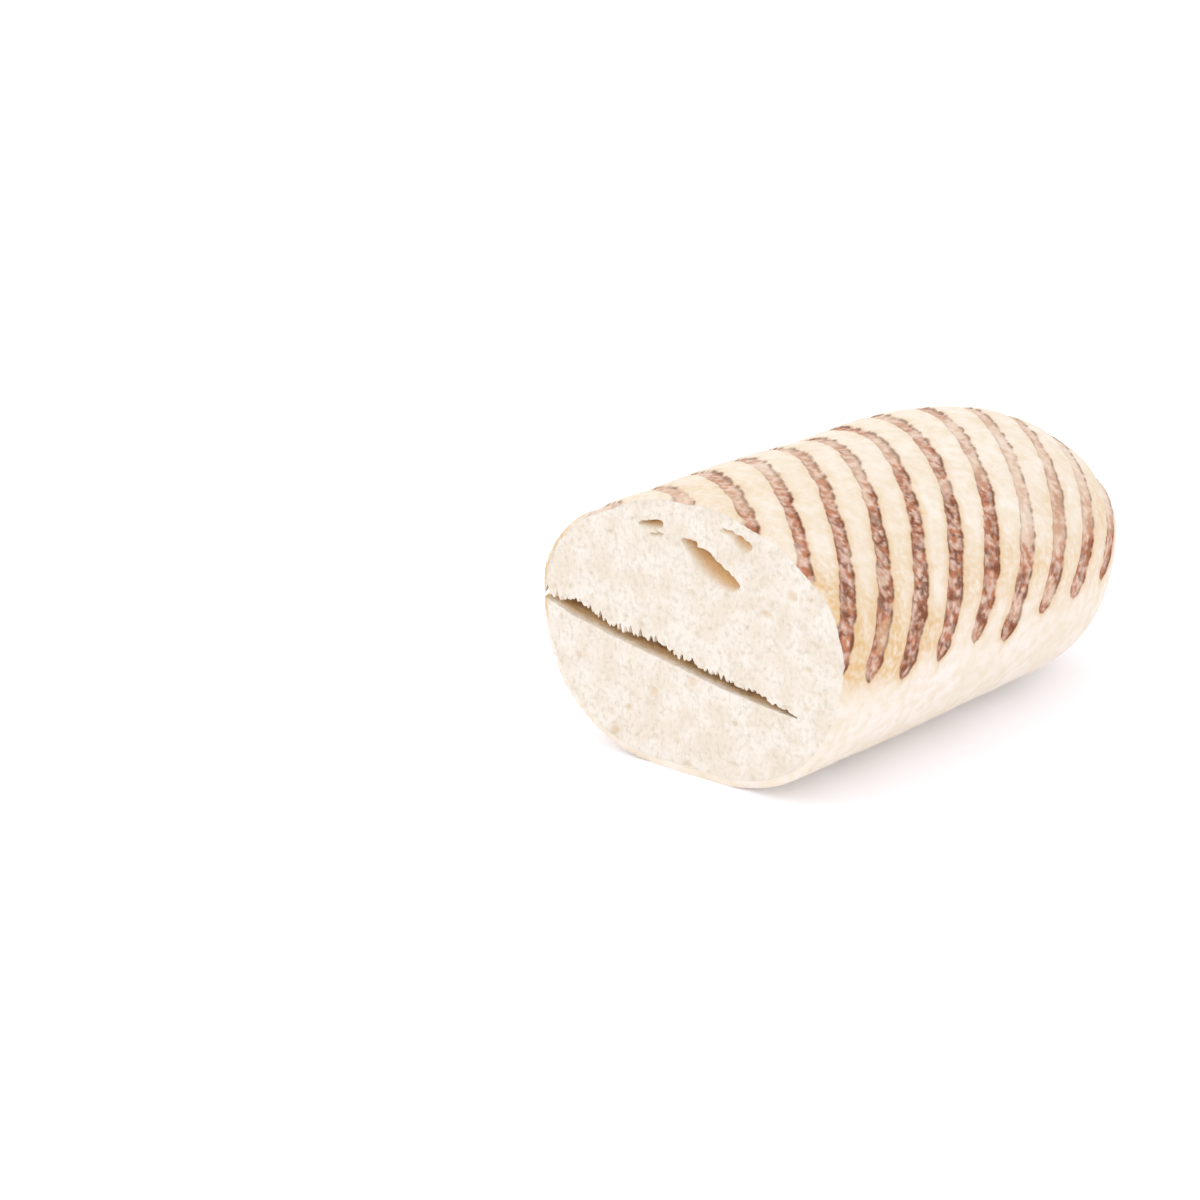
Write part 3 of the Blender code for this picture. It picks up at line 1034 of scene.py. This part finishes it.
# %% [markdown]
# ## Finish: wheat crumb
#
# The crumb is a foam of starch and gluten, warm white, with painted shade that greys it a little in
# its cells and along the knife's nap. Bubbles and the slit get painted shade by how deep they lie,
# tan at first and then a dull brown. Each tint could have its own few lines, but all of them
# are a pattern, a range and a colour, so a loop lays them one over the other. The cells are 0.3 to
# 1 mm wide, finer than the picture shows, so they are drawn coarser, at 1.2 mm, and the upright nap
# that the knife left at 0.7 mm.

# %% The crumb's colour
CRUMB = "#E8DDCE"
CRUMB_PALE = "#F0E8DE"
CRUMB_SHADE_GREY = "#D6CBB8"
CRUMB_SHADE_TAN = "#E8C799"
CRUMB_SHADE_DEEP = "#A8865A"
CLOUD_SIZE = 5 * MM
CELL_SIZE = 1.2 * MM
NAP_SIZE = 0.7 * MM
NAP_STRETCH = (1.0, 1.0, 0.5)

crumb_material, tree = finish("wheat_crumb")
place = add(tree, "ShaderNodeTexCoord", output="Object")
hollow_shade = add(tree, "ShaderNodeAttribute", output="Fac", attribute_name="hollow_shade")
upright = add(tree, "ShaderNodeMapping", {"Vector": place, "Scale": NAP_STRETCH})
clouds = add(tree, "ShaderNodeTexNoise", {"Vector": place, "Scale": 1 / CLOUD_SIZE, "Detail": 3.0})
cells = add(tree, "ShaderNodeTexNoise", {"Vector": place, "Scale": 1 / CELL_SIZE, "Detail": 2.0})
nap = add(tree, "ShaderNodeTexNoise", {"Vector": upright, "Scale": 1 / NAP_SIZE, "Detail": 1.0})

# Each tint: its pattern, where it starts, where it is full, how much it covers, and its colour
TINTS = (
    (clouds, 0.38, 0.62, 1.0, CRUMB_PALE),
    # Painted shade: grey in the cells and along the nap, which are finer than the mesh
    (cells, 0.5, 0.75, 0.8, CRUMB_SHADE_GREY),
    (nap, 0.5, 0.8, 0.5, CRUMB_SHADE_GREY),
    # Painted shade in the hollows: tan just inside, dull brown deeper in
    (hollow_shade, 0.02, 0.24, 1.0, CRUMB_SHADE_TAN),
    (hollow_shade, 0.35, 0.9, 1.0, CRUMB_SHADE_DEEP),
)
colour = CRUMB
for pattern, starts, full, covers, tint in TINTS:
    share = add(tree, "ShaderNodeMapRange", {
        "Value": pattern, "From Min": starts, "From Max": full, "To Max": covers,
    })
    colour = add(tree, "ShaderNodeMix", {
        "Factor": share, "A": colour, "B": tint,
    }, "Result", data_type="RGBA")
print("crumb colour:", len(TINTS), "tints over", CRUMB)

# %% [markdown]
# ## The crumb's shader
#
# The crumb's walls are thin and full of air, so light goes in, scatters and comes out again about a
# millimetre away. That gives the eye softness and keeps the pores from looking black. It reaches
# furthest in red, as in anything made of starch. A bump adds the cells and the nap, which the mesh
# is too coarse for.

# %% The crumb's shader
CRUMB_ROUGHNESS = 0.9
CRUMB_BUMP = 0.3 * MM
SCATTER_DEPTH = 0.8 * MM
SCATTER_BY_COLOUR = (1.0, 0.8, 0.6)

height = add(tree, "ShaderNodeMath", {0: cells, 1: 0.8, 2: nap}, operation="MULTIPLY_ADD")
bump = add(tree, "ShaderNodeBump", {"Height": height, "Strength": 0.45, "Distance": CRUMB_BUMP})
shader = add(tree, "ShaderNodeBsdfPrincipled", {
    "Base Color": colour, "Normal": bump, "Roughness": CRUMB_ROUGHNESS,
    "IOR": CRUST_IOR, "Specular IOR Level": 0.2, "Subsurface Weight": 0.3,
    "Subsurface Radius": SCATTER_BY_COLOUR, "Subsurface Scale": SCATTER_DEPTH,
})
add(tree, "ShaderNodeOutputMaterial", {"Surface": shader})
print(crumb_material.name, "with", len(tree.nodes), "nodes")

# %% [markdown]
# ## Putting the finishes on
#
# The outside is shaded smooth, so that the fine mesh reads as one skin, but the edges that the knife
# left stay crisp. They could be marked one by one, but the angle between two faces finds them all.

# %% Assign the finishes
CRISP_FROM = math.radians(48)

for piece, material in ((crust, crust_material), (crumb, crumb_material)):
    piece.data.materials.clear()
    piece.data.materials.append(material)
    piece.data.shade_smooth()
    piece.data.set_sharp_from_angle(angle=CRISP_FROM)
    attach(piece, "root")
    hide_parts("roll")
print("pieces:", crust.name, "and", crumb.name)

# %% [markdown]
# ## Floor and light
#
# Food on a white sweep is lit by big soft sources, so that shadows are pale and the highlights on
# top nearly vanish. A bright even surround does most of it. A weak sun, spread as wide as an
# overcast window, models the form and lays a faint shadow to the lower right. The paper itself glows
# a little, as an overexposed sweep does, and that keeps the shadow beside the roll pale. The display
# transform is Standard, because the photograph's white is a plain paper white, with no film curve.

# %% The stage
FLOOR_SIZE = 6.0
SURROUND = 1.08
SURROUND_COLOUR = "#FFFFFF"
SUN_STRENGTH = 0.3
SUN_SPREAD = math.radians(70)
SUN_FROM = (-0.45, 0.62, 1.0)
SUN_COLOUR = "#FFFAF3"
PAPER = "#F9F9FF"
PAPER_ROUGHNESS = 0.9
PAPER_GLOW = 0.12


def paper_sweep():
    """A large flat sheet of paper under the roll."""
    half = FLOOR_SIZE / 2
    mesh = bpy.data.meshes.new("floor")
    corners = [(-half, -half, 0.0), (half, -half, 0.0), (half, half, 0.0), (-half, half, 0.0)]
    mesh.from_pydata(corners, [], [(0, 1, 2, 3)])
    floor = bpy.data.objects.new("floor", mesh)
    bpy.context.scene.collection.objects.link(floor)
    made, tree = finish("white_paper_sweep")
    shader = add(tree, "ShaderNodeBsdfPrincipled", {
        "Base Color": PAPER, "Roughness": PAPER_ROUGHNESS, "Specular IOR Level": 0.0,
        "Emission Color": SURROUND_COLOUR, "Emission Strength": PAPER_GLOW,
    })
    add(tree, "ShaderNodeOutputMaterial", {"Surface": shader})
    mesh.materials.append(made)


def soft_light():
    """An even surround and one weak, wide sun."""
    world = bpy.data.worlds.new("surround")
    world.use_nodes = True
    background = world.node_tree.nodes["Background"]
    background.inputs["Color"].default_value = linear(SURROUND_COLOUR)
    background.inputs["Strength"].default_value = SURROUND
    bpy.context.scene.world = world
    data = bpy.data.lights.new("sun", "SUN")
    data.energy = SUN_STRENGTH
    data.angle = SUN_SPREAD
    data.color = linear(SUN_COLOUR)[:3]
    lamp = bpy.data.objects.new("sun", data)
    bpy.context.scene.collection.objects.link(lamp)
    lamp.rotation_euler = Vector(SUN_FROM).to_track_quat("Z", "Y").to_euler()


paper_sweep()
soft_light()
bpy.context.scene.view_settings.view_transform = "Standard"
print("surround", SURROUND, "and a soft sun of", SUN_STRENGTH, "from", SUN_FROM)
